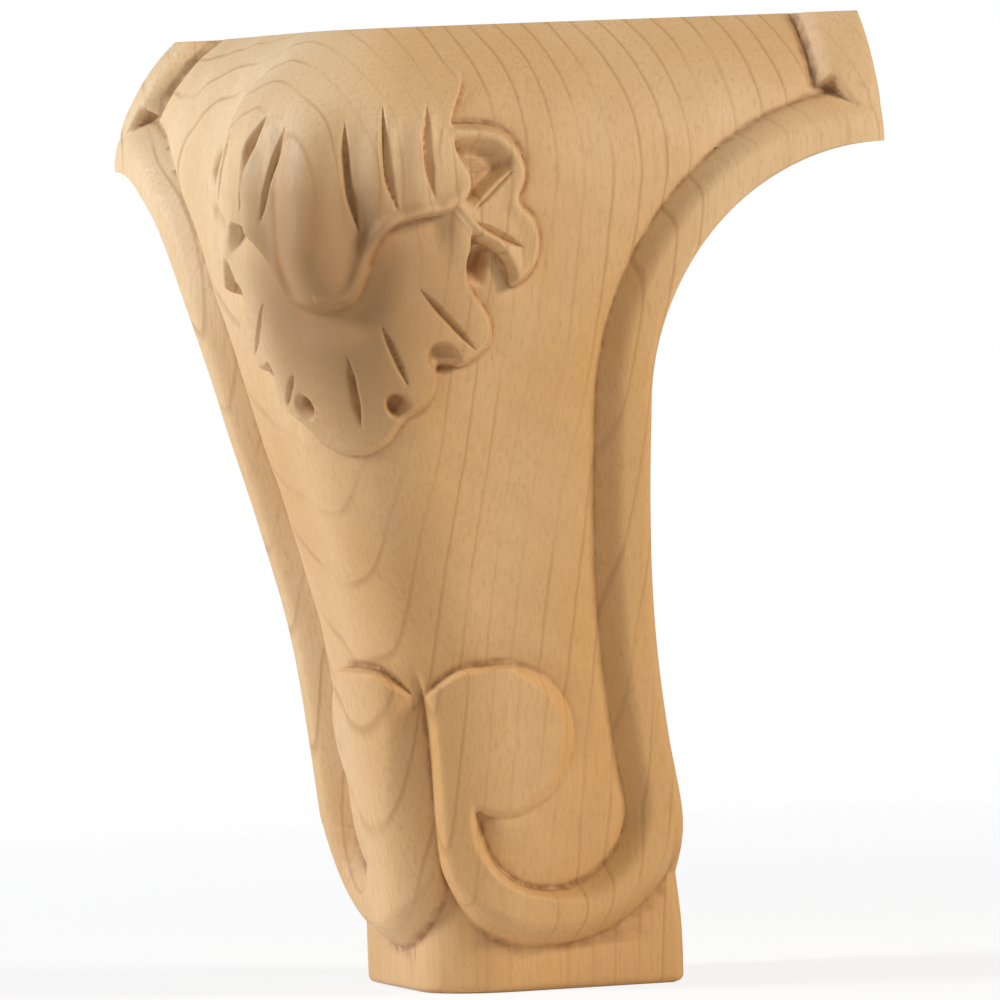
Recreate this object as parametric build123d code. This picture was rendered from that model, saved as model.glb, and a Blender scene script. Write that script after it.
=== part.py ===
"""Carved corner leg for a cabinet, cut from one block of maple.

Frame: millimetres, +Z up, origin at the middle of the foot's sole. The two carved faces look
along -X and -Y, and the rounded corner between them lies on the diagonal plane X = Y. One pattern
is sawn through the block from both faces. The half with X over Y is carved, then mirrored.
"""
import os
from math import asin, cos, degrees, radians, sin

from build123d import *

# The sawn block
leg_height = 203.0
block_side = 133.0          # from one carved knee to the end of the wing opposite it
knee_below_top = 33.0       # where the knee is fullest
top_setback = 15.0          # how far the faces lean back from the knee to the top
corner_radius = 26.0        # rounding of the carved corner
wing_end = 27.5             # height of the end face of each wing
wing_radius = 50.5          # hollow under the wing
foot_side = 55.0
foot_height = 13.75         # where the sawn back has come out to the foot
foot_corner = 10.0          # rounding of the foot's carved corner
foot_edge = 1.5             # easing round the sole
scroll_proud = 4.0          # how far the faces, run on down to the floor, stand off the foot
ankle_inset = 2.0           # the sawn back is this far inside the foot, above the foot
back_edge = 2.0             # easing where the carved faces meet the sawn back

# The two sawn curves, as shares of the way out from the foot and of the way up to the knee, and of
# the way out from the waist and down from it to the window
face_slope = 0.16           # lean of the carved faces at the floor
face_curve = [(0.23, 0.30), (0.55, 0.59), (0.85, 0.80)]
ankle_slope = 0.1           # lean of the sawn back where the scroll begins
ankle_curve = [(0.25, 0.47), (0.68, 0.84)]

# The bead along the back edge, and the scroll that it curls into
relief = 3.2                # depth of the ground between the carvings
bead_width = 11.5
end_bead_width = 13.0       # the bead up the end of the wing
window_height = 38.0        # centre of the round end of the sunk ground inside the scroll
window_radius = 16.5
scroll_radius = 33.0        # the scroll's outer sweep
scroll_rise = 4.0           # its centre above the window's
eye_radius = 16.4
eye_across = 11.3           # the eye's centre, from the window's
eye_rise = 15.5
stem_turn = 152.0           # degrees round the eye at which its rim meets the groove on the corner
cleft_top = 64.0            # the groove on that corner, between the two scrolls
cleft_depth = 4.6
cleft_width = 5.0

# The leaf over the knee, drawn as it is seen square on to the corner: distance out from the
# corner's centre plane, and height over the knee
leaf_relief = 2.0           # lower leaf over the ground
curl_relief = 2.6           # leaf's side curls over the ground
leaf_outline = [(0, -55), (6, -54.5), (12.5, -48.5), (15.5, -47.5), (18.2, -43.5), (18.5, -35.5),
                (24.3, -37), (29.2, -29.5), (27.3, -20), (26, -8), (0, 0)]
curl_outline = [(0, -14), (26, -14), (32.4, -22.3), (37.8, -17), (38.2, -10), (35.8, -5), (37, 1.3),
                (36, 6.5), (32.5, 11.5), (26, 12), (0, 12)]
hood_outline = [(0, -23.5), (7.5, -21.5), (12.6, -10), (20, -6.8), (27.3, -2), (26, 10), (25.5, 20),
                (18, 26), (0, 27)]
vein_width = 2.6
vein_depth = 1.7
veins = [((8, 13.8), (11, -8)), ((15, 16.5), (18.2, -5)), ((22, 16), (24, -2.3)), ((30.3, -5), (36, 2)),
         ((29.7, -7.7), (36.6, -13.8)), ((20.4, -21.6), (27, -34.5)), ((13.2, -28.7), (15.3, -41))]
centre_vein = ((3.8, -35), (3.6, -48.7))
pit_radius = 3.8
pit_floor = 0.8             # radius at the bottom of a pit
pit_depth = 2.4
pits = [(10.8, -45.3), (20.8, -38.5), (29.8, -18.2)]

tool_clear = 1.5            # a cutter stands this far out of the wood
overlap = 0.5               # two shapes that are joined or cut run this far into each other
touch = 0.01                # places this close are the same place

half_block = block_side / 2
half_foot = foot_side / 2
face_at_floor = half_foot + scroll_proud
ankle = half_foot - ankle_inset
knee_z = leg_height - knee_below_top
waist_x = half_block - wing_radius
waist_z = leg_height - wing_end - wing_radius
window_x = ankle - bead_width - window_radius
eye_centre = (window_x - eye_across, window_height + eye_rise)
far = block_side + leg_height
diagonal = Plane(origin=(0, 0, 0), z_dir=(1, -1, 0))
square_on = Plane(origin=(0, 0, knee_z), x_dir=(1, -1, 0), z_dir=(-1, -1, 0))


def carved_line(inset, setback):
    """The carved faces' profile on the left of the pattern, from the sole up to the top."""
    rise = half_block - face_at_floor
    between = [(inset - face_at_floor - out * rise, up * knee_z) for out, up in face_curve]
    knee = (inset - half_block, knee_z)
    face = Spline((inset - face_at_floor, 0), *between, knee, tangents=[(-face_slope, 1), (0, 1)])
    return [face, TangentArc(face @ 1, (setback - half_block, leg_height), tangent=(0, 1))]


def ankle_line(width):
    """The sawn back below the wing's hollow, or the bead's inner edge at a width beside it."""
    out = ankle - waist_x
    drop = waist_z - window_height
    between = [(waist_x + a * out - width, waist_z - b * drop) for a, b in ankle_curve]
    waist = (waist_x - width, waist_z)
    return Spline(waist, *between, (ankle - width, window_height), tangents=[(0, -1), (ankle_slope, -1)])


def block(inset, setback):
    """The half of the sawn block with X over Y, with its carved corner rounded."""
    front = carved_line(inset, setback)
    under = CenterArc((half_block, waist_z), wing_radius, 90, 90)
    back = ankle_line(0)
    eased = half_foot - foot_edge
    sole = Polyline(back @ 1, (half_foot, foot_height), (half_foot, foot_edge), (eased, 0), front[0] @ 0)
    top = Polyline(front[1] @ 1, (half_block, leg_height), under @ 0)
    pattern = make_face(Curve() + front + [top, under, back, sole])
    sawn = extrude(Plane.XZ * pattern, far, both=True) & extrude(Plane.YZ * pattern, far, both=True)
    corner = [e for e in sawn.edges() if abs(e.center().X - e.center().Y) < touch]
    corner = [e for e in corner if e.center().X < -half_foot / 2]
    return split(fillet(corner, corner_radius - inset), bisect_by=diagonal, keep=Keep.TOP)


def back_edges(solid):
    """The edges where a carved face meets the sawn back, from the sole's easing up to the wing's end."""
    beside = [e for e in solid.edges() if e.center().Y < -half_foot and e.center().X > 0]
    curved = [e for e in beside if e.geom_type != GeomType.LINE and e.center().Z < leg_height - touch]
    return [e for e in curved if e.length > overlap and (e @ 0).Z + (e @ 1).Z > 2 * overlap]


def sunk_ground():
    """What is cut away inside the bead: all of the face but the bead, the scroll and its eye."""
    inner_radius = wing_radius + bead_width
    mitre = degrees(asin(end_bead_width / inner_radius))
    under = CenterArc((half_block, waist_z), inner_radius, 90 + mitre, 90 - mitre)
    back = ankle_line(bead_width)
    window = CenterArc((window_x, window_height), window_radius, 0, -180)
    turn = radians(stem_turn)
    shoulder_z = eye_centre[1] + sin(turn) * eye_radius
    shoulder = (eye_centre[0] + cos(turn) * (eye_radius - overlap), shoulder_z)
    rest = Polyline(window @ 1, (window_x - window_radius, eye_centre[1]), shoulder, (-far, shoulder_z),
                    (-far, far), (half_block - end_bead_width, far), under @ 0)
    panel = make_face(Curve() + [under, back, window, rest]) - Pos(*eye_centre) * Circle(eye_radius)
    return extrude(Plane.XZ * panel, far)


def below_scroll():
    """What is cut away under the scroll's outer sweep, down to the foot."""
    sweep = Pos(window_x, window_height + scroll_rise) * Circle(scroll_radius)
    under = Pos(0, window_height) * Rectangle(2 * far, 2 * far, align=(Align.CENTER, Align.MAX))
    under -= sweep
    foot = Box(foot_side, foot_side, far, align=(Align.CENTER, Align.CENTER, Align.MIN))
    foot = fillet(foot.edges().filter_by(Axis.Z).sort_by_distance((-foot_side, -foot_side, 0))[0], foot_corner)
    foot = chamfer(foot.edges().group_by(Axis.Z)[0], foot_edge)
    return extrude(Plane.XZ * under, far, both=True) - foot


def cleft():
    """The V groove that runs down the corner between the two scrolls."""
    corner_inset = corner_radius * (1 - cos(radians(45)))
    low = face_at_floor - corner_inset - cleft_depth * cos(radians(45))
    lean = face_slope * cleft_top
    outer = corner_radius + cleft_depth
    spread = cleft_width / 2 * outer / cleft_depth
    root = Vector(-low, -low, 0)
    brim = root - Vector(outer, outer, 0)
    wedge = make_face(Polyline(root, brim + Vector(spread, -spread, 0), brim - Vector(spread, -spread, 0), close=True))
    return extrude(wedge, cleft_top, dir=Vector(-lean, -lean, cleft_top))


def leaf_layer(outline, inset):
    """One layer of the leaf, raised to an inset from the crest: its half on this side of the corner."""
    edge = Spline(*outline)
    shape = make_face(Curve() + [edge, Line(edge @ 1, edge @ 0)])
    return extrude(square_on * shape, far) & block(inset, top_setback + relief)


def on_surface(solid, place):
    """The point of the carving that is seen square on to the corner at a place."""
    sight = Axis(square_on.from_local_coords((*place, far)), -square_on.z_dir)
    return solid.find_intersection_points(sight)[0][0]


def vein(solid, ends):
    """A cut of the veining tool: a V that runs out to a point at both ends."""
    start, end = (on_surface(solid, place) for place in ends)
    middle = on_surface(solid, tuple((a + b) / 2 for a, b in zip(*ends)))
    along = (end - start).normalized()
    out = (square_on.z_dir - along * square_on.z_dir.dot(along)).normalized()
    across = out.cross(along) * (vein_width / 2) * (1 + tool_clear / vein_depth)
    brim = middle + out * tool_clear
    section = Wire.make_polygon([brim + across, middle - out * vein_depth, brim - across], close=True)
    return Solid.make_loft([Vertex(*start), section, Vertex(*end)], ruled=True)


def pit(solid, place):
    """A pit between two lobes of the leaf, bored in square on to the corner."""
    floor = on_surface(solid, place) - square_on.z_dir * pit_depth
    bored = Cone(pit_floor, pit_radius, pit_depth + tool_clear, align=(Align.CENTER, Align.CENTER, Align.MIN))
    return Plane(origin=floor, x_dir=square_on.x_dir, z_dir=square_on.z_dir) * bored


crest = block(0, top_setback)
crest = chamfer(back_edges(crest), back_edge)
half = block(relief, top_setback + relief) + (crest - sunk_ground()) - below_scroll()
half += leaf_layer(leaf_outline, relief - leaf_relief)
half += leaf_layer(curl_outline, relief - curl_relief)
half += leaf_layer(hood_outline, 0)
for place in pits:
    half -= pit(half, place)
for ends in veins:
    half -= vein(half, ends)
leg = (half + mirror(half, about=diagonal)).solid()
leg -= vein(leg, centre_vein)
leg = (leg - cleft()).solid()

os.makedirs("parts", exist_ok=True)
export_step(leg, "parts/carved_leg.step")
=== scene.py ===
import math

import bpy
import numpy as np
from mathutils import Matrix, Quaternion, Vector


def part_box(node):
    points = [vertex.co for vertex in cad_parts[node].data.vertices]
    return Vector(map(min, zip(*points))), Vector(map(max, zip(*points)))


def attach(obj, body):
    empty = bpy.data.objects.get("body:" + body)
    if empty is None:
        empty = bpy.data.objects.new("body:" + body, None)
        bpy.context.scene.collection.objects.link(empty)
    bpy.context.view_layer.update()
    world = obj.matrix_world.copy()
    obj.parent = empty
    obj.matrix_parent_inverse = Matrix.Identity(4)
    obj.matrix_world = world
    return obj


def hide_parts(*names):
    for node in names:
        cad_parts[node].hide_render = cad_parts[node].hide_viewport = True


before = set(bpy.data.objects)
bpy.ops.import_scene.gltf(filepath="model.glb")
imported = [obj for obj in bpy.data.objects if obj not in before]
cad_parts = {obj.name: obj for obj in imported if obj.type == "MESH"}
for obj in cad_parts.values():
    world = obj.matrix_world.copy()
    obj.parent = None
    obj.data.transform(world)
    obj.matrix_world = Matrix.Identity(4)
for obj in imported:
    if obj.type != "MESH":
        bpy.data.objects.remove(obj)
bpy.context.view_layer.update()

legLow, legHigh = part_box("carved_leg")
mm = 0.001

# All sizes are in millimetres. A place on a carved face is (u, z): the way round from the carved
# corner and the height, or (a, z), where a is measured along the face from the leg's axis. Where
# something fades in, a pair holds the place where it starts and the place where it is full.
blank = {
    "height": (legHigh[2] - legLow[2]) / mm,
    "halfBlock": (legHigh[0] - legLow[0]) / mm / 2,
    "kneeBelowTop": 33.0,
    "topSetback": 15.0,
    "wingRadius": 50.5,      # hollow under each wing
    "wingEnd": 27.5,
    "halfFoot": 27.3,
    "footCorner": 22.0,
    "cornerRadius": 26.0,
    "cornerWidens": (9, 28),       # heights from the foot's corner to the leg's
    "arris": 2.4,
    "soleEase": 1.8,
    "steepest": 0.3,         # lean of the face past which the relief isn't stretched further
    "faceLine": [(0, 31.5), (28, 35.8), (52, 39.7), (76, 44.0), (100, 50.7), (124, 58.0), (148, 63.8),
                 (170, 66.5)],     # height, and distance out from the axis
    "backLine": [(0, 27.5), (14, 27.4), (22, 26.7), (38, 25.4), (52, 22.6), (84, 18.3), (110, 16.5),
                 (125, 16.0)],
}

kneeZ = blank["height"] - blank["kneeBelowTop"]
waistZ = blank["height"] - blank["wingEnd"] - blank["wingRadius"]
wingZ = waistZ + blank["wingRadius"]


def smooth(x, start, end):
    t = np.clip((x - start) / (end - start), 0, 1)
    return t * t * (3 - 2 * t)


def rounded(inside, width):   # share of its height that a raised shape has this far inside its edge
    return np.sin(math.pi / 2 * np.clip(inside / width, 0, 1))


def lowerOf(a, b, blend):   # the lower of two heights, rounded off where they meet
    return (a + b - np.sqrt((a - b) ** 2 + blend ** 2)) / 2


def throughPoints(x, points):   # a soft curve through points
    xs, ys = np.array(points, float).T
    slopes = np.gradient(ys, xs)
    i = np.clip(np.searchsorted(xs, x) - 1, 0, len(xs) - 2)
    step = xs[i + 1] - xs[i]
    t = np.clip((x - xs[i]) / step, 0, 1)
    along = ys[i] + (ys[i + 1] - ys[i]) * t * t * (3 - 2 * t)
    return along + step * t * (1 - t) * (slopes[i] * (1 - t) - slopes[i + 1] * t)


def faceAt(z):
    setback, drop = blank["topSetback"], blank["kneeBelowTop"]
    radius = (setback ** 2 + drop ** 2) / (2 * setback)
    lean = radius - np.sqrt(radius ** 2 - np.clip(z - kneeZ, 0, drop) ** 2)
    return throughPoints(np.minimum(z, kneeZ), blank["faceLine"]) - lean


def backAt(z):
    up = np.clip(z - waistZ, 0, blank["wingRadius"])
    wing = blank["halfBlock"] - np.sqrt(blank["wingRadius"] ** 2 - up ** 2)
    return np.where(z < waistZ, throughPoints(np.minimum(z, waistZ), blank["backLine"]), wing)


def cornerAt(z):
    widened = (blank["cornerRadius"] - blank["footCorner"]) * smooth(z, *blank["cornerWidens"])
    return blank["footCorner"] + widened


def insideOutline(points, u, z):   # how far inside a soft outline each place is, negative outside it
    line = list(points)
    pastCorner = -40
    if line[0][0] == 0:   # it crosses the corner, and goes on round the other side
        line = [(pastCorner, line[0][1])] + line + [(pastCorner, line[-1][1])]
    for cut in range(2):   # each time its corners are cut off, a quarter of the way along
        following = line[1:] + line[:1]
        line = [(p[0] + (q[0] - p[0]) * s, p[1] + (q[1] - p[1]) * s)
                for p, q in zip(line, following) for s in (0.25, 0.75)]
    nearest = np.full(u.shape, np.inf)
    within = np.zeros(u.shape, bool)
    for (u0, z0), (u1, z1) in zip(line, line[1:] + line[:1]):
        du, dz = u1 - u0, z1 - z0
        t = np.clip(((u - u0) * du + (z - z0) * dz) / (du * du + dz * dz), 0, 1)
        nearest = np.minimum(nearest, (u - u0 - t * du) ** 2 + (z - z0 - t * dz) ** 2)
        crosses = (z0 > z) != (z1 > z)
        rise = dz if dz else 1.0
        within ^= crosses & (u < u0 + (z - z0) * du / rise)
    return np.where(within, 1, -1) * np.sqrt(nearest)


ground = {
    "relief": 3.2,           # ground below the untouched face
    "unevenness": 0.10,      # left by the gouge
    "waves": [(1.0, (0.31, 0.11), (-0.07, 0.19)), (0.5, (0.41, 0.53), None)],   # share, turns across and up
    "leafDip": 0.8,          # it dips this much towards the leaf
    "leafDipReach": 3.5,
    "leafDipUp": (196, 182),
    "cornerDipAcross": (20, 4),    # and this much again on the corner under it
    "cornerDipUp": [(100, 125), (190, 175)],
}

# The leaf over the knee has three layers: the lower leaf, the side curl and the hood, which turns
# over at the top. Outlines are (u, z) on the side that shows best; the far side's are scaled.
lowerLeaf = {
    "farScale": 1.1,
    "level": -1.2,
    "side": 1.7,             # width over which its edge rises
    "lipDip": 2.0,           # it dips this much under the hood's lip
    "lipDipReach": (-9, -0.3),
    "tipDip": 0.9,
    "tipDipUp": (128, 115),
    "cornerDip": 0.9,
    "cornerDipAcross": (18, 6),
    "meetsCurl": [(28, 34), (149, 157)],   # where it runs into the curl, across and up
    "belowCurl": 0.5,
    "outline": [(0, 172), (26, 172), (37, 162), (36.2, 156.8), (34.6, 151.8), (35, 147.8), (37.4, 144),
                (38.2, 140), (36.8, 136.2), (33.4, 133.7), (29.4, 131.8), (27, 132.8), (24.4, 132.4),
                (23.8, 128.8), (21.2, 124.5), (17.6, 122.8), (15.4, 122.1), (13.4, 120.8), (9.8, 117.4),
                (6.6, 115.8), (3, 114.6), (0, 114.4)],
}


def lowerLeafHeight(h, u, v, z, inside, inHood):
    level = lowerLeaf["level"] - lowerLeaf["lipDip"] * smooth(inHood, *lowerLeaf["lipDipReach"])
    level = level - lowerLeaf["tipDip"] * smooth(z, *lowerLeaf["tipDipUp"])
    level = level - lowerLeaf["cornerDip"] * smooth(u, *lowerLeaf["cornerDipAcross"])
    across, up = lowerLeaf["meetsCurl"]
    meets = smooth(v, *across) * smooth(z, *up)
    level = level + (curl["level"] - lowerLeaf["belowCurl"] - level) * meets
    return np.where(inside > 0, h + (level - h) * rounded(inside, lowerLeaf["side"]), h)


curl = {
    "farScale": 0.93,
    "level": 0.3,
    "side": 2.0,
    "cutLine": (36.6, 165.2, 0.88),   # a place on the cut between its lobes, and the cut's slope
    "cutFade": (-1, 3),
    "scoop": 3.8,            # the upper lobe is hollowed this deep
    "scoopReach": (2.2, 7),
    "dish": 0.5,             # and both lobes a little
    "dishReach": (2, 5),
    "deepest": 0.6,          # below what the curl lies on
    "outline": [(28, 184), (32.2, 183), (36, 182.8), (39.6, 182.6), (43.6, 181.2), (47.2, 177.9),
                (49.4, 174), (49.5, 169.8), (46.9, 165.9), (50.2, 163.2), (51.2, 159), (50.5, 154.6),
                (48.4, 150.9), (45, 148.4), (42.8, 148.3), (42.6, 151.5), (41.4, 154.6), (38.8, 157.2),
                (36.6, 158), (34, 161), (31, 166), (28, 175)],
}


def curlHeight(h, v, z, inside):
    cutU, cutZ, cutSlope = curl["cutLine"]
    aboveCut = z - cutZ - cutSlope * (v - cutU)
    scoop = curl["scoop"] * smooth(inside, *curl["scoopReach"]) * smooth(aboveCut, *curl["cutFade"])
    within = smooth(inside, *curl["dishReach"])
    level = curl["level"] - scoop - curl["dish"] * within
    top = h + (level - h) * rounded(inside, curl["side"])
    return np.where(inside > 0, np.maximum(h - curl["deepest"] * within, top), h)


pits = {
    "wall": 3,               # the higher, the steeper its wall
    "outward": (0.6, -0.8),  # the way a pit runs out towards the ground
    "runOut": (1.1, -0.7),
    "leafEdge": (-4.5, -1.5),      # how far outside the leaf it has run out
    "places": [   # centre, radius and depth; u is negative on the far side
        ((13.4, 124.6), 3.1, 3.6), ((25.8, 134.0), 3.7, 3.6), ((38.4, 152.8), 4.6, 4.2),
        ((-11.2, 124.8), 3.0, 3.4), ((-25.0, 131.4), 3.3, 3.4), ((-37.2, 147.2), 4.2, 3.6),
    ],
}


def pitDepth(u, z, side, inLeaf):
    total = 0
    acrossShare, upShare = pits["outward"]
    for (pitU, pitZ), radius, depth in pits["places"]:
        away = np.hypot(u * side - pitU, z - pitZ) / radius
        outward = ((u - abs(pitU)) * acrossShare + (z - pitZ) * upShare) / radius
        shape = np.clip(1 - away ** pits["wall"], 0, 1) * smooth(outward, *pits["runOut"])
        total = total + depth * shape * smooth(inLeaf, *pits["leafEdge"])
    return total


dome = {   # the bulge down the middle of the hood
    "across": 0.4,
    "halfWidth": (8.8, 11.0),      # at its top and at its lower end
    "widens": (184, 158),
    "height": (2.8, 6.2),
    "grows": (176, 156),
    "starts": (193, 174),
    "endFrom": 158.5,
    "endLength": 15.5,
    "roundness": 1.6,
}


def domeHeight(u, z, side):
    end = np.maximum(dome["endFrom"] - z, 0) / dome["endLength"]
    narrow, wide = dome["halfWidth"]
    half = narrow + (wide - narrow) * smooth(z, *dome["widens"])
    bulge = np.clip(1 - ((u * side - dome["across"]) / half) ** 2 - end ** 2, 0, 1) ** dome["roundness"]
    high, low = dome["height"]
    return bulge * (high + (low - high) * smooth(z, *dome["grows"])) * smooth(z, *dome["starts"])


hood = {
    "level": 0.1,
    "rises": (199, 180),     # heights over which it comes up out of the ground
    "side": 1.3,
    "cornerSide": 1.3,       # its edge is this much wider on the corner
    "cornerSideAcross": (10, 3),
    "cornerDip": 3.0,        # each side of the dome
    "cornerDipAcross": (20, 7),
    "cornerDipUp": (194, 176),
    "lip": 1.3,              # its lower edge is rolled up this much
    "lipInside": 2.0,
    "lipWidth": 1.5,
    "lipUp": (174, 164),
    "farLip": 0.2,           # the lip's share on the far side
    "fold": 0.35,            # it swells this much between the vein cuts
    "foldFrom": 12.5,
    "foldLength": 8.6,
    "foldAcross": [(8, 12), (32, 27)],
    "foldUp": (190, 178),
    "leastStep": 0.2,
    "outline": [(0, 199), (10.5, 198.5), (20, 198), (27, 197), (31.6, 194), (33.4, 190.5), (32.6, 185),
                (32.3, 181), (34.4, 176.5), (37.4, 172.6), (37.6, 168.6), (34.4, 165.4), (29.4, 163.3),
                (24.4, 163), (17.8, 160.8), (13.9, 156), (12.2, 151.2), (8.8, 146.4), (4.8, 144.6), (0, 144)],
}


def hoodHeight(h, u, v, z, side, inside):
    relief = ground["relief"]
    lipShare = 1.0 if side > 0 else hood["farLip"]
    dip = hood["cornerDip"] * smooth(u, *hood["cornerDipAcross"]) * smooth(z, *hood["cornerDipUp"])
    lip = hood["lip"] * np.exp(-((inside - hood["lipInside"]) / hood["lipWidth"]) ** 2)
    lip = lip * smooth(z, *hood["lipUp"]) * lipShare
    top = (relief + hood["level"]) * smooth(z, *hood["rises"]) - relief
    top = top + domeHeight(u, z, side) - dip + lip
    first, last = hood["foldAcross"]
    folds = np.cos((v - hood["foldFrom"]) / hood["foldLength"] * 2 * math.pi)
    folds = folds * smooth(v, *first) * smooth(v, *last) * smooth(z, *hood["foldUp"])
    top = top - hood["fold"] * folds
    width = hood["side"] + hood["cornerSide"] * smooth(u, *hood["cornerSideAcross"])
    raised = h + (top - h) * rounded(inside, width)
    return np.where(inside > 0, np.maximum(raised, h - hood["leastStep"]), h)


def leafHeight(h, u, z, side):
    v = u if side > 0 else u / lowerLeaf["farScale"]
    vCurl = u if side > 0 else u / curl["farScale"]
    inLower = insideOutline(lowerLeaf["outline"], v, z)
    inCurl = insideOutline(curl["outline"], vCurl, z)
    inHood = insideOutline(hood["outline"], v, z)
    outside = np.minimum(np.maximum(np.maximum(inLower, inCurl), inHood), 0)
    near = np.exp(outside / ground["leafDipReach"]) * smooth(z, *ground["leafDipUp"])
    low, high = ground["cornerDipUp"]
    onCorner = smooth(u, *ground["cornerDipAcross"]) * smooth(z, *low) * smooth(z, *high)
    h = h - ground["leafDip"] * near - ground["leafDip"] * onCorner
    h = lowerLeafHeight(h, u, v, z, inLower, inHood)
    h = curlHeight(h, vCurl, z, inCurl)
    h = h - pitDepth(u, z, side, inLower)
    return hoodHeight(h, u, v, z, side, inHood)


bead = {
    "width": 11.5,
    "endWidth": 13.0,        # up the end of the wing
    "mitreOverlap": 8.0,     # past the short cut at the inner corner the two beads run into one
    "mitreAcross": (3, 8),
    "crown": 0.6,            # its top falls this much towards its sides
    "crownFrom": 7.5,
    "crownTo": 12.0,
    "crownWidth": 6.0,
    "crownUp": (-2, 6),      # from the window's centre
    "side": 2.3,
    "farSide": 3.2,          # its inner side is this much wider away from the stem
    "farSideAcross": (-6, 8),
    "stemSide": 0.6,         # and this much narrower on the stem
    "stemSideAcross": (-19.5, -23),
    "endSide": 2.0,          # and on the wing's end
    "endSideUp": (4, 12),
    "dip": 1.1,              # the ground dips this much towards it
    "dipReach": 5.0,
    "dipAcross": (-4, 6),
    "crease": 0.4,           # the knife's line along its edge
    "creaseReach": 1.3,
}


def insideBead(a, z):   # how far inside the bead along the back edge each place is
    onWing = blank["wingRadius"] + bead["width"] - np.hypot(a - blank["halfBlock"], z - waistZ)
    inside = np.where(z < waistZ, a - backAt(z) + bead["width"], onWing)
    fromSide = a - blank["halfBlock"] + bead["endWidth"]
    overBead = z - wingZ - bead["width"] + bead["mitreOverlap"] * smooth(fromSide, *bead["mitreAcross"])
    return np.maximum(inside, np.minimum(fromSide, overBead))


def beadSide(a, z):   # width over which the bead's inner side rises
    width = bead["side"] + bead["farSide"] * smooth(a, *bead["farSideAcross"])
    width = width - bead["stemSide"] * smooth(a, *bead["stemSideAcross"])
    low, high = bead["endSideUp"]
    return width - bead["endSide"] * smooth(z, wingZ + low, wingZ + high)


scroll = {
    "windows": [((-2.7, 38.2), 16.6), ((3.9, 34.0), 10.2)],   # sunk ends, right and left: centre, radius
    "stemTops": [(61.2, 0.7), (64.0, 0.9)],   # right and left: height at the corner, and rise from there
    "stemCap": 70.0,
    "stemBlend": 2.4,
    "stemTurn": 8.0,         # below the eye's centre the stem's side starts to run into the eye
    "stemPastEye": 3.0,
    "eyeCentre": (-14.0, 53.5),
    "eyeRadius": 16.3,
    "eyeLevel": -0.1,
    "eyeSide": 2.2,
    "eyeBevel": (1.6, 3.5),        # its width on the eye's left and right
    "eyeBevelAcross": (-4, 9),     # from the eye's centre
    "eyeDip": 0.9,           # the ground dips this much towards the eye's right
    "eyeDipReach": 3.0,
    "eyeClear": (0, -3),
    "swell": 1.7,            # the ground swells this much below the right eye
    "swellTurn": (0.25, 0.75),
    "swellAcross": (-6, 0),
    "swellReach": (-9, 0.5),
    "centre": (-3.0, 42.0),  # of the outer sweep, down to the foot
    "radius": 33.0,
    "sweepSide": 6.5,
    "pastSweep": 20.0,
}


def scrollHeight(h, u, a, z, side, footDepth):
    number = 0 if side > 0 else 1
    (windowA, windowZ), windowRadius = scroll["windows"][number]
    eyeA, eyeZ = scroll["eyeCentre"]
    inBead = insideBead(a, z)
    raised = np.where(z < windowZ, np.hypot(a - windowA, z - windowZ) - windowRadius, inBead)
    base, rise = scroll["stemTops"][number]
    stemTop = lowerOf(base + rise * u, scroll["stemCap"], scroll["stemBlend"])
    intoEye = smooth(z, eyeZ - scroll["stemTurn"], eyeZ)
    stemSide = (windowA - windowRadius) * (1 - intoEye) + (eyeA + scroll["stemPastEye"]) * intoEye - a
    raised = np.where(z >= windowZ, np.maximum(raised, np.minimum(stemSide, stemTop - z)), raised)
    low, high = bead["crownUp"]
    crown = ((np.clip(inBead, 0, bead["crownTo"]) - bead["crownFrom"]) / bead["crownWidth"]) ** 2
    top = -bead["crown"] * crown * smooth(z, windowZ + low, windowZ + high) * (inBead > 0)
    fromEye = np.hypot(a - eyeA, z - eyeZ)
    eye = scroll["eyeRadius"] - fromEye
    first, last = scroll["swellAcross"]
    under = smooth((eyeZ - z) / np.maximum(fromEye, 1), *scroll["swellTurn"])
    under = under * smooth(a, eyeA + first, eyeA + last) * (side > 0)
    h = h + scroll["swell"] * under * smooth(eye, *scroll["swellReach"])
    below = np.minimum(raised, 0)
    dip = bead["dip"] * np.exp(below / bead["dipReach"]) * smooth(a, *bead["dipAcross"])
    dip = dip + bead["crease"] * np.exp(below / bead["creaseReach"])
    first, last = scroll["eyeBevelAcross"]
    toRight = smooth(a, eyeA + first, eyeA + last)
    eyeDip = scroll["eyeDip"] * np.exp(np.minimum(eye, 0) / scroll["eyeDipReach"]) * toRight
    h = h - dip * smooth(eye, *scroll["eyeClear"]) - eyeDip
    h = np.where(raised > 0, h + (top - h) * rounded(raised, beadSide(a, z)), h)
    left, right = scroll["eyeBevel"]
    bevel = np.clip(eye / (left + (right - left) * toRight), 0, 1)
    bevel = bevel + (rounded(eye, scroll["eyeSide"]) - bevel) * (1 - toRight)
    h = np.where(eye > 0, np.maximum(h, h + (scroll["eyeLevel"] - h) * bevel), h)
    sweepA, sweepZ = scroll["centre"]
    fromSweep = scroll["radius"] - np.hypot(a - sweepA, z - sweepZ)
    sweep = np.where(z < sweepZ, fromSweep, scroll["pastSweep"])
    return (h + footDepth) * rounded(sweep, scroll["sweepSide"]) - footDepth


cleft = {   # the groove on the corner between the two scrolls; pairs are at its foot and at its top
    "rises": (27, 62),
    "depth": (4.2, 4.8),
    "across": (0.2, 2.2),    # how far right of the corner its root lies
    "leftFlank": (12.2, 6.4),
    "rightFlank": 4.2,
    "brim": 0.9,             # rounding where a flank meets the face
    "starts": (13, 22),
    "ends": (71, 62),
}


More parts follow.
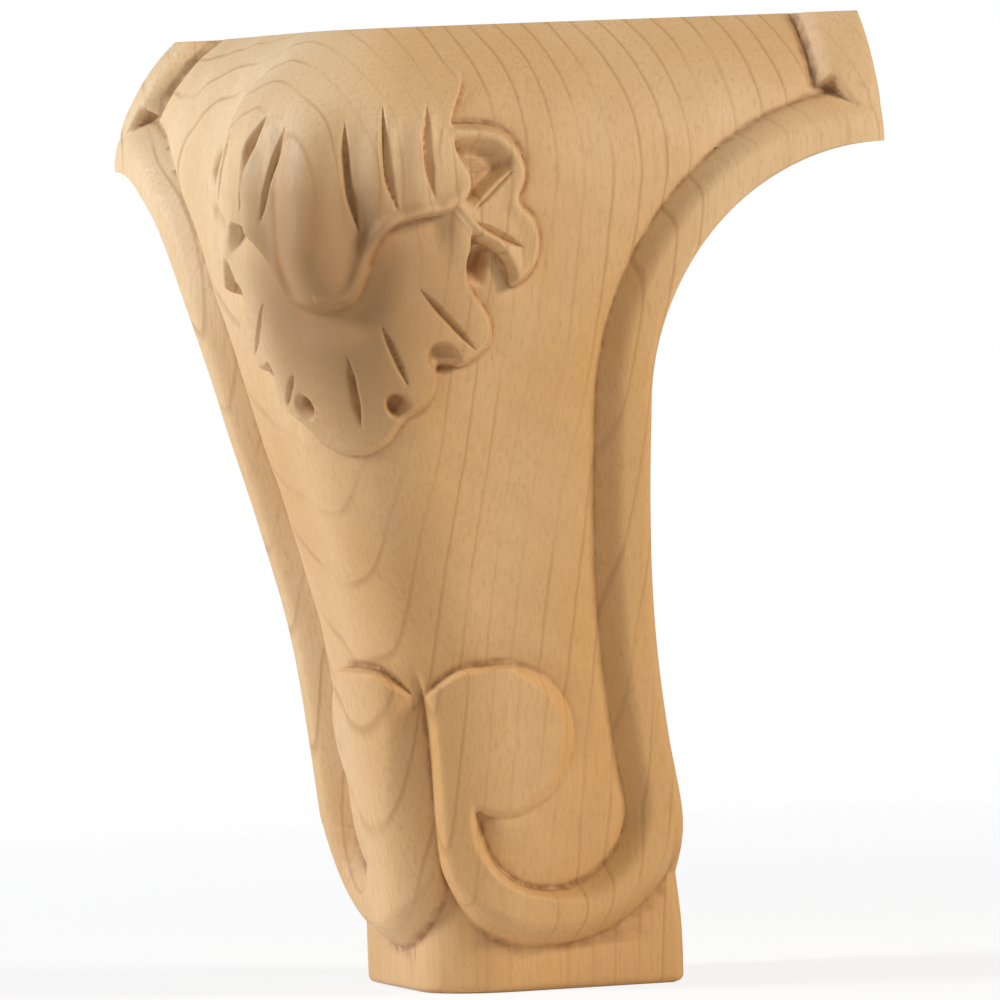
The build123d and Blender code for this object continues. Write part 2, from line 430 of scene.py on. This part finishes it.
def cleftHeight(h, across, z):
    up = smooth(z, *cleft["rises"])
    depth, root, leftFlank = (low + (high - low) * up for low, high in
                              (cleft["depth"], cleft["across"], cleft["leftFlank"]))
    fromRoot = across - root
    flank = np.where(fromRoot < 0, -fromRoot / leftFlank, fromRoot / cleft["rightFlank"])
    between = smooth(z, *cleft["starts"]) * smooth(z, *cleft["ends"])
    return h + (lowerOf(h, depth * (flank - 1), cleft["brim"]) - h) * between


def gougeMarks(across, z):
    total = 0
    for share, first, second in ground["waves"]:
        wave = np.sin(across * first[0] + z * first[1])
        if second:
            wave = wave * np.sin(across * second[0] + z * second[1])
        total = total + share * wave
    return total


def carve(u, a, z, side):   # how far the wood stands over the untouched face
    across = u * side
    h = -ground["relief"] + ground["unevenness"] * gougeMarks(across, z)
    h = scrollHeight(h, u, a, z, side, faceAt(z) - blank["halfFoot"])
    h = cleftHeight(h, across, z)
    return leafHeight(h, u, z, side)


meshing = {
    "rows": [(0, 0.42), (78, 0.8), (110, 0.3)],   # from each height up, the step between rows
    "columns": (64, 250, 6, 22),   # round the corner, along the face, round the edge, along the back
    "crowding": 0.62,        # the first step along the face, as a share of the mean one
    "triangles": 188000,
    "sharpAngle": 60,
    "hollows": [(4, 1.1, 1.0), (11, 2.2, 0.45)],   # reach in rows, depth for a full tint of painted shade, share
}


def rowHeights():
    starts = [start for start, step in meshing["rows"]] + [waistZ]
    steps = [step for start, step in meshing["rows"]]
    bands = [np.arange(low, high, step) for low, high, step in zip(starts, starts[1:], steps)]
    turn = np.arange(0, math.pi / 2, steps[-1] / blank["wingRadius"])
    under = waistZ + blank["wingRadius"] * np.sin(turn)   # closer together towards the wing's end
    above = np.linspace(wingZ, blank["height"], int((blank["height"] - wingZ) / steps[-1]))
    return np.concatenate(bands + [under, above])


def carvedHalf(side):   # one half of the leg, row by row from the corner round to the middle of the back
    z = rowHeights()[:, None]
    face, back, corner, arris = faceAt(z), backAt(z), cornerAt(z), blank["arris"]
    turns, along, edge, behind = meshing["columns"]
    arc = corner * math.pi / 4
    uArc = np.linspace(0, 1, turns, endpoint=False)[None, :] * arc
    t = np.linspace(0, 1, along)[None, :]
    crowding = meshing["crowding"]
    uFlat = arc + t * (crowding + (1 - crowding) * t) * (back - arris + face - corner)
    u = np.concatenate([uArc, uFlat], axis=1)
    a = u - arc - face + corner
    slope = np.gradient(face[:, 0], z[:, 0])[:, None]
    stretch = np.sqrt(1 + np.minimum(slope, blank["steepest"]) ** 2 + np.maximum(-slope, 0) ** 2)
    ease = blank["soleEase"]
    sole = ease - np.sqrt(ease ** 2 - np.clip(ease - z, 0, ease) ** 2)
    h = carve(u, a, z + 0 * u, side) * stretch - sole
    turn = math.pi / 4 - np.minimum(u / corner, math.pi / 4)
    x = np.where(u < arc, -face + corner - corner * np.sin(turn), a) - h * np.sin(turn)
    y = np.where(u < arc, -face + corner - corner * np.cos(turn), -face) - h * np.cos(turn)
    drop = -h[:, -1:]
    theta = np.linspace(0, math.pi / 2, edge + 1)[None, 1:]
    x = np.concatenate([x, back - arris + arris * np.sin(theta) - sole * np.sin(theta)], axis=1)
    y = np.concatenate([y, -face + drop + arris - arris * np.cos(theta)], axis=1)
    share = np.linspace(0, 1, behind + 1)[None, 1:]
    start = y[:, -1:]
    x = np.concatenate([x, back - sole + 0 * share], axis=1)
    y = np.concatenate([y, start + (back - sole - start) * share], axis=1)
    heights = np.concatenate([h, np.repeat(h[:, -1:], edge + behind, axis=1)], axis=1)
    if side < 0:
        x, y = y, x
    return x, y, z + 0 * x, heights, u


def softened(values, reach):   # a running mean both ways over the grid
    for axis in (0, 1):
        ends = [(reach, reach) if axis == way else (0, 0) for way in (0, 1)]
        padded = np.pad(values, ends, mode="edge")
        count = values.shape[axis]
        total = sum(np.take(padded, range(shift, shift + count), axis) for shift in range(2 * reach + 1))
        values = total / (2 * reach + 1)
    return values


def hollowTint(h, halfColumns):   # 0 to 1: how far a place lies below what is round it, which sets the painted shade in hollows, with the darker end grain there
    tint = sum(share * np.clip((softened(h, reach) - h) / depth, 0, 1)
               for reach, depth, share in meshing["hollows"])
    plain = sum(meshing["columns"][2:])   # none on the sawn back, the top or the sole
    tint[:, :plain] = 0
    tint[:, 2 * halfColumns - 2 - plain:] = 0
    tint[[0, -1]] = 0
    return np.clip(tint, 0, 1).astype(np.float32)


def legMesh():
    right, left = carvedHalf(1), carvedHalf(-1)
    x, y, z, h = (np.concatenate([b[:, :0:-1], a[:, :-1]], axis=1) for a, b in zip(right[:4], left[:4]))
    rows, columns = x.shape
    places = np.stack([x, y, z], axis=-1).reshape(-1, 3) * mm
    index = np.arange(rows * columns).reshape(rows, columns)
    following = np.roll(index, -1, axis=1)
    quads = np.stack([index[:-1], following[:-1], following[1:], index[1:]], axis=-1).reshape(-1, 4)
    faces = quads.tolist() + [index[0, ::-1].tolist(), index[-1].tolist()]
    mesh = bpy.data.meshes.new("carvedLeg")
    mesh.from_pydata(places.tolist(), [], faces)
    layer = mesh.attributes.new("hollow", "FLOAT", "POINT")
    layer.data.foreach_set("value", hollowTint(h, right[0].shape[1]).ravel())
    print("grid of the leg:", rows, "by", columns)
    return mesh, (right, left)


# Cuts of the veining tool: (u, z) at each end and the width between. u is negative on the far side.
veins = {
    "depthForWidth": 1.6,
    "pointEvery": 0.12,
    "taper": (2.6, 0.8),     # how soon a cut reaches its full width, and how blunt its ends are
    "cuts": [((8.3, 184.4), (11.6, 160.5), 2.5), ((16.0, 187.5), (20.4, 164.6), 2.7),
             ((25.6, 187.0), (28.7, 167.0), 2.4), ((36.6, 164.4), (45.9, 172.6), 1.6),
             ((36.2, 162.4), (46.6, 156.2), 2.0), ((23.0, 149.0), (33.0, 135.2), 2.2),
             ((13.4, 142.0), (16.6, 128.2), 2.0), ((4.2, 135.5), (3.4, 120.4), 2.4),
             ((-6.1, 184.6), (-14.9, 163.2), 1.9), ((-13.2, 186.4), (-24.3, 165.6), 3.2),
             ((-31.2, 184.6), (-38.5, 168.0), 1.9), ((-46.7, 172.6), (-42.5, 162.6), 1.8),
             ((-18.6, 147.4), (-33.5, 135.6), 2.0), ((-11.7, 132.2), (-18.0, 124.8), 1.8)],
}


def onSurface(halves, u, z):   # the carved surface's point at (u, z)
    x, y, heights, depth, around = halves[0] if u >= 0 else halves[1]
    row = int(np.searchsorted(heights[:, 0], z)) - 1
    share = (z - heights[row, 0]) / (heights[row + 1, 0] - heights[row, 0])
    count = around.shape[1]
    low, high = (np.array([np.interp(abs(u), around[r], grid[r, :count]) for grid in (x, y, heights)])
                 for r in (row, row + 1))
    return (low + (high - low) * share) * mm


def veinLines(halves):   # closely spaced points along each cut, with the cut's half width at each
    places, widths = [], []
    rate, power = veins["taper"]
    for start, end, width in veins["cuts"]:
        count = int(math.dist(start, end) / veins["pointEvery"])
        for i in range(count + 1):
            t = i / count
            u = start[0] + (end[0] - start[0]) * t
            z = start[1] + (end[1] - start[1]) * t
            places.append(onSurface(halves, u, z))
            widths.append(width / 2 * mm * min(1, rate * t ** power, rate * (1 - t) ** power))
    mesh = bpy.data.meshes.new("veinLines")
    mesh.from_pydata([tuple(p) for p in places], [], [])
    mesh.attributes.new("halfWidth", "FLOAT", "POINT").data.foreach_set("value", widths)
    guide = bpy.data.objects.new("veinLines", mesh)
    bpy.context.collection.objects.link(guide)
    return guide


class Board:   # adds nodes to a tree: type, settings, then sockets, as their names or as i and a number
    def __init__(self, tree):
        self.tree = tree

    def add(self, kind, settings=None, **inputs):
        node = self.tree.nodes.new(kind)
        for name, value in (settings or {}).items():
            setattr(node, name, value)
        for name, value in inputs.items():
            numbered = name[1:].isdigit()
            self.feed(node.inputs[int(name[1:]) if numbered else name.replace("_", " ")], value)
        return node

    def feed(self, socket, value):
        if isinstance(value, Signal):
            value = value.socket
        if isinstance(value, bpy.types.NodeSocket):
            self.tree.links.new(value, socket)
        else:
            socket.default_value = value

    def signal(self, kind, settings=None, output=0, **inputs):
        return Signal(self, self.add(kind, settings, **inputs).outputs[output])


class Signal:   # a value in a tree, so that its maths can be written as plain sums
    def __init__(self, board, socket):
        self.board = board
        self.socket = socket

    def maths(self, operation, first, second=0.0):
        return self.board.signal("ShaderNodeMath", {"operation": operation}, i0=first, i1=second)

    def __add__(self, other):
        return self.maths("ADD", self, other)

    def __sub__(self, other):
        return self.maths("SUBTRACT", self, other)

    def __mul__(self, other):
        return self.maths("MULTIPLY", self, other)

    def __truediv__(self, other):
        return self.maths("DIVIDE", self, other)

    def __pow__(self, other):
        return self.maths("POWER", self, other)

    def __rsub__(self, other):
        return self.maths("SUBTRACT", other, self)

    __radd__ = __add__
    __rmul__ = __mul__

    def atLeast(self, other):
        return self.maths("MAXIMUM", self, other)

    def fraction(self):
        return self.maths("FRACT", self)

    def ramp(self, start, end, low=0.0, high=1.0):
        settings = {"interpolation_type": "SMOOTHSTEP"}
        return self.board.signal("ShaderNodeMapRange", settings, i0=self, i1=start, i2=end, i3=low, i4=high)


def veinTree():   # sinks the wood along the vein lines, and keeps how deep as an attribute, which darkens the cuts with painted shade and darker end grain
    tree = bpy.data.node_groups.new("veinCuts", "GeometryNodeTree")
    wanted = [("Wood", "Geometry"), ("Lines", "Object"), ("Depth For Width", "Float"), ("Finish", "Material")]
    for name, kind in wanted:
        tree.interface.new_socket(name, in_out="INPUT", socket_type="NodeSocket" + kind)
    tree.interface.new_socket("Wood", in_out="OUTPUT", socket_type="NodeSocketGeometry")
    board = Board(tree)
    given = board.add("NodeGroupInput").outputs
    lineInfo = board.add("GeometryNodeObjectInfo", {"transform_space": "RELATIVE"}, Object=given["Lines"])
    lines = lineInfo.outputs["Geometry"]
    nearest = board.signal("GeometryNodeSampleNearest", i0=lines)
    place = board.signal("GeometryNodeInputPosition")
    vector = {"data_type": "FLOAT_VECTOR", "domain": "POINT"}
    number = {"data_type": "FLOAT", "domain": "POINT"}
    onLine = board.signal("GeometryNodeSampleIndex", vector, i0=lines, Value=place, Index=nearest)
    width = board.signal("GeometryNodeInputNamedAttribute", {"data_type": "FLOAT"}, Name="halfWidth")
    halfWidth = board.signal("GeometryNodeSampleIndex", number, i0=lines, Value=width, Index=nearest)
    gap = board.signal("ShaderNodeVectorMath", {"operation": "DISTANCE"}, output="Value", i0=place, i1=onLine)
    depth = (halfWidth - gap).atLeast(0.0) * Signal(board, given["Depth For Width"])
    normal = board.signal("GeometryNodeInputNormal")
    inward = board.signal("ShaderNodeVectorMath", {"operation": "SCALE"}, i0=normal, Scale=depth * -1.0)
    cut = board.signal("GeometryNodeSetPosition", i0=given["Wood"], Offset=inward)
    marked = board.signal("GeometryNodeStoreNamedAttribute", number, i0=cut, Name="cut", Value=depth / mm)
    plain = board.signal("GeometryNodeRealizeInstances", i0=marked)
    done = board.signal("GeometryNodeSetMaterial", i0=plain, Material=given["Finish"])
    board.add("NodeGroupOutput", i0=done)
    return tree


def plainMesh(piece, name):   # turns what the piece's modifiers make into its own mesh
    evaluated = piece.evaluated_get(bpy.context.evaluated_depsgraph_get())
    mesh = bpy.data.meshes.new_from_object(evaluated)
    piece.modifiers.clear()
    piece.data = mesh
    mesh.name = name


def triangleCount(piece):
    return sum(len(p.vertices) - 2 for p in piece.data.polygons)


def carvedLeg(material):
    mesh, halves = legMesh()
    piece = bpy.data.objects.new("carvedLegDressed", mesh)
    bpy.context.collection.objects.link(piece)
    guide = veinLines(halves)
    tree = veinTree()
    modifier = piece.modifiers.new("veinCuts", "NODES")
    modifier.node_group = tree
    sockets = {item.name: item.identifier for item in tree.interface.items_tree if item.in_out == "INPUT"}
    modifier[sockets["Lines"]] = guide
    modifier[sockets["Depth For Width"]] = veins["depthForWidth"]
    modifier[sockets["Finish"]] = material
    plainMesh(piece, "carvedLegCut")
    bpy.data.objects.remove(guide)
    print("vein cuts made:", len(veins["cuts"]))
    thin = piece.modifiers.new("thinned", "DECIMATE")
    thin.ratio = meshing["triangles"] / triangleCount(piece)
    plainMesh(piece, "carvedLeg")
    piece.data.polygons.foreach_set("use_smooth", [True] * len(piece.data.polygons))
    piece.data.set_sharp_from_angle(angle=math.radians(meshing["sharpAngle"]))
    print("triangles in the leg:", triangleCount(piece))
    return piece


wood = {
    "cream": (0.76, 0.55, 0.325),
    "tan": (0.60, 0.33, 0.12),
    "ring": (0.41, 0.205, 0.07),
    "fleck": (0.34, 0.175, 0.068),
    # dark of the hollows and cuts: painted shade, with the darker end grain and wax of carved wood
    "crease": (0.25, 0.095, 0.022),
    "heartwoodAndShade": (0.30, 0.145, 0.05),
    "shadedDarkPlace": (-58.0, -60.0, 148.0),   # the leaf is cut in browner wood, and painted shade under the knee and the hood darkens it further
    "shadedDarkReach": (46.0, 12.0),
    "shadedDarkShare": 0.8,
    "patchShares": (0.4, 0.45, 0.3),      # of the tan: in patches, lower down, and round to the right, so the upper left stays cream: partly the wood's own tone, partly painted light
    "tanUp": (185.0, 110.0),
    "tanAcross": (-32.0, 4.0),
    "ringSpacing": 5.2,
    "ringLine": (0.80, 0.93),             # its line starts and is darkest here, as shares of a ring
    "ringTilt": 0.035,
    "ringSway": (16.0, 1.8),              # how far slow and quick waves carry a ring
    "heart": (190.0, 26.0),               # the tree's centre, away from the block
    "ringShare": 0.55,
    "fibreShare": 0.25,
    "fleckShare": 0.16,
    "hollowShadeAndGrainShare": 0.7,
    "cutShadeAndGrainShare": 0.85,
    "roughness": 0.62,
    "grainStrength": 0.18,
    "grainDepth": 0.00012,                # in metres
    "patterns": {   # scale, detail, roughness and stretch
        "sway": (0.012, 2.0, 0.5, (1, 1, 0.45)),
        "ripple": (0.06, 1.0, 0.5, (1, 1, 0.3)),
        "faint": (0.05, 1.0, 0.5, (1, 1, 0.4)),
        "patch": (0.022, 3.0, 0.5, (1, 1, 0.5)),
        "fibre": (1.0, 3.0, 0.6, (1.6, 1.6, 0.06)),
        "fleck": (1.0, 2.0, 0.5, (1.3, 1.3, 0.42)),
        "blotch": (0.35, 3.0, 0.5, (1, 1, 1)),
        "fine": (2.6, 2.0, 0.5, (1, 1, 0.5)),
    },
}


def mapleFinish():
    material = bpy.data.materials.new("sandedMaple")
    material.use_nodes = True
    tree = material.node_tree
    tree.nodes.clear()
    board = Board(tree)
    local = board.add("ShaderNodeTexCoord").outputs["Object"]
    place = board.signal("ShaderNodeVectorMath", {"operation": "SCALE"}, i0=local, Scale=1 / mm)

    def noise(name):
        scale, detail, rough, stretch = wood["patterns"][name]
        spread = board.signal("ShaderNodeVectorMath", {"operation": "MULTIPLY"}, i0=place, i1=stretch)
        settings = {"noise_dimensions": "3D"}
        return board.signal("ShaderNodeTexNoise", settings, Vector=spread, Scale=scale, Detail=detail,
                            Roughness=rough)

    def mixed(factor, first, second):
        colours = [c if isinstance(c, Signal) else (*c, 1.0) for c in (first, second)]
        return board.signal("ShaderNodeMix", {"data_type": "RGBA"}, output=2, i0=factor, i6=colours[0],
                            i7=colours[1])

    axes = board.add("ShaderNodeSeparateXYZ", i0=place).outputs
    x, y, z = (Signal(board, socket) for socket in axes)
    heartX, heartY = wood["heart"]
    slow, quick = wood["ringSway"]
    sway = noise("sway") * slow + noise("ripple") * quick
    radius = ((x - heartX) ** 2.0 + (y - heartY) ** 2.0) ** 0.5 + sway + z * wood["ringTilt"]
    step = (radius / wood["ringSpacing"]).fraction()
    start, darkest = wood["ringLine"]
    ring = step.ramp(start, darkest) * (1.0 - step.ramp(darkest, 1.0))
    faint = noise("faint").ramp(0.35, 0.62, 0.2, 1.0)
    inPatches, lower, toRight = wood["patchShares"]
    # tan lower down and round to the right, cream at the upper left: partly the wood's own tone, partly
    # painted light, paler where the light falls and darker where it falls off
    tanShare = noise("patch").ramp(0.3, 0.7) * inPatches + z.ramp(*wood["tanUp"]) * lower
    tanShare = tanShare + (x - y).ramp(*wood["tanAcross"]) * toRight
    fromShadedDark = board.signal("ShaderNodeVectorMath", {"operation": "DISTANCE"}, output="Value", i0=place,
                            i1=wood["shadedDarkPlace"])
    fibre = noise("fibre")
    flecks = noise("fleck").ramp(0.56, 0.7)
    colour = mixed(tanShare, wood["cream"], wood["tan"])
    # browner wood round the leaf, with painted shade under the knee and the hood mixed into it
    colour = mixed(fromShadedDark.ramp(*wood["shadedDarkReach"]) * wood["shadedDarkShare"], colour, wood["heartwoodAndShade"])
    colour = mixed(ring * faint * wood["ringShare"], colour, wood["ring"])
    colour = mixed(fibre.ramp(0.45, 0.75) * wood["fibreShare"], colour, wood["ring"])
    colour = mixed(flecks * wood["fleckShare"], colour, wood["fleck"])
    hollow = board.signal("ShaderNodeAttribute", {"attribute_name": "hollow"}, output="Fac")
    cut = board.signal("ShaderNodeAttribute", {"attribute_name": "cut"}, output="Fac")
    blotch = noise("blotch").ramp(0.3, 0.7, 0.35, 1.0)
    # painted shade in the hollows, with the darker end grain of carved wood
    colour = mixed(hollow.ramp(0.1, 0.75) * wood["hollowShadeAndGrainShare"] * blotch, colour, wood["crease"])
    # painted shade inside the vein cuts, with their darker end grain
    colour = mixed(cut.ramp(0.2, 1.2) * wood["cutShadeAndGrainShare"], colour, wood["crease"])
    grain = fibre * 0.6 + flecks * -0.5 + noise("fine") * 0.25
    bump = board.signal("ShaderNodeBump", Strength=wood["grainStrength"], Distance=wood["grainDepth"],
                        Height=grain)
    rough = fibre.ramp(0.3, 0.8, wood["roughness"] - 0.06, wood["roughness"] + 0.1)
    shader = board.signal("ShaderNodeBsdfPrincipled", Base_Color=colour, Roughness=rough, Normal=bump)
    board.add("ShaderNodeOutputMaterial", Surface=shader)
    return material


light = {
    "world": 0.18,
    "lamps": [   # place, size, watts, colour
        ((-1.5, 0.4, 0.9), 0.5, 27.0, (0.95, 1.0, 1.06)),
        ((1.15, -1.4, 1.1), 0.5, 30.0, (1.0, 0.96, 0.88)),
    ],
    "aim": (0, 0, 0.1),
    "floorColour": (0.9, 0.9, 0.9, 1.0),
    "floorRoughness": 0.9,
    "floorGlow": (0.8, 1.0),     # share of plain white that the floor shows, at the leg and further off
    "floorReach": (0.2, 0.8),
    "floorHalf": 6.0,
}


def paleFloor():   # matt, but seen as white, with the leg's shadow still on it
    material = bpy.data.materials.new("paleFloor")
    material.use_nodes = True
    tree = material.node_tree
    tree.nodes.clear()
    board = Board(tree)
    ray = board.add("ShaderNodeLightPath").outputs
    place = board.add("ShaderNodeTexCoord").outputs["Object"]
    away = board.signal("ShaderNodeVectorMath", {"operation": "LENGTH"}, output="Value", i0=place)
    matt = board.signal("ShaderNodeBsdfPrincipled", Base_Color=light["floorColour"],
                        Roughness=light["floorRoughness"])
    glow = board.signal("ShaderNodeEmission", Color=(1, 1, 1, 1), Strength=1.0)
    direct = Signal(board, ray["Is Camera Ray"]).atLeast(Signal(board, ray["Is Glossy Ray"]))
    share = direct * away.ramp(*light["floorReach"], *light["floorGlow"])
    seen = board.signal("ShaderNodeMixShader", i0=share, i1=matt, i2=glow)
    board.add("ShaderNodeOutputMaterial", Surface=seen)
    return material


def studio():
    world = bpy.data.worlds.new("studio")
    bpy.context.scene.world = world
    world.use_nodes = True
    world.node_tree.nodes.clear()
    board = Board(world.node_tree)
    ray = board.add("ShaderNodeLightPath").outputs
    direct = Signal(board, ray["Is Camera Ray"]).atLeast(Signal(board, ray["Is Transmission Ray"]))
    strength = direct * (1.0 - light["world"]) + light["world"]
    glow = board.signal("ShaderNodeBackground", Color=(1, 1, 1, 1), Strength=strength)
    board.add("ShaderNodeOutputWorld", Surface=glow)
    for number, (place, size, watts, colour) in enumerate(light["lamps"]):
        lamp = bpy.data.lights.new(f"softbox{number}", "AREA")
        lamp.size = size
        lamp.energy = watts
        lamp.color = colour
        holder = bpy.data.objects.new(lamp.name, lamp)
        holder.location = place
        holder.rotation_euler = (Vector(light["aim"]) - Vector(place)).to_track_quat("-Z", "Y").to_euler()
        bpy.context.collection.objects.link(holder)
    mesh = bpy.data.meshes.new("floor")
    half = light["floorHalf"]
    corners = [(-half, -half, 0), (half, -half, 0), (half, half, 0), (-half, half, 0)]
    mesh.from_pydata(corners, [], [(0, 1, 2, 3)])
    floor = bpy.data.objects.new("floor", mesh)
    floor.data.materials.append(paleFloor())
    bpy.context.collection.objects.link(floor)


viewpoint = {   # in metres; roll in radians
    "place": (-0.6816, -2.3012, 0.172),
    "target": (0, 0, 0.1015),
    "roll": -0.0403,
    "lens": 407.2,
    "sensor": 36,
    "shift": (-0.0057, 0.0052),
}


def camera():
    data = bpy.data.cameras.new("photoView")
    data.lens = viewpoint["lens"]
    data.sensor_width = viewpoint["sensor"]
    data.shift_x, data.shift_y = viewpoint["shift"]
    holder = bpy.data.objects.new("photoView", data)
    holder.location = viewpoint["place"]
    aim = (Vector(viewpoint["target"]) - holder.location).to_track_quat("-Z", "Y")
    holder.rotation_euler = (aim @ Quaternion((0, 0, 1), viewpoint["roll"])).to_euler()
    bpy.context.collection.objects.link(holder)
    bpy.context.scene.camera = holder


bpy.context.scene.view_settings.view_transform = "Standard"
camera()
studio()
print("studio and camera set")
maple = mapleFinish()
leg = carvedLeg(maple)
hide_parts("carved_leg")
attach(leg, "root")
print("leg dressed")
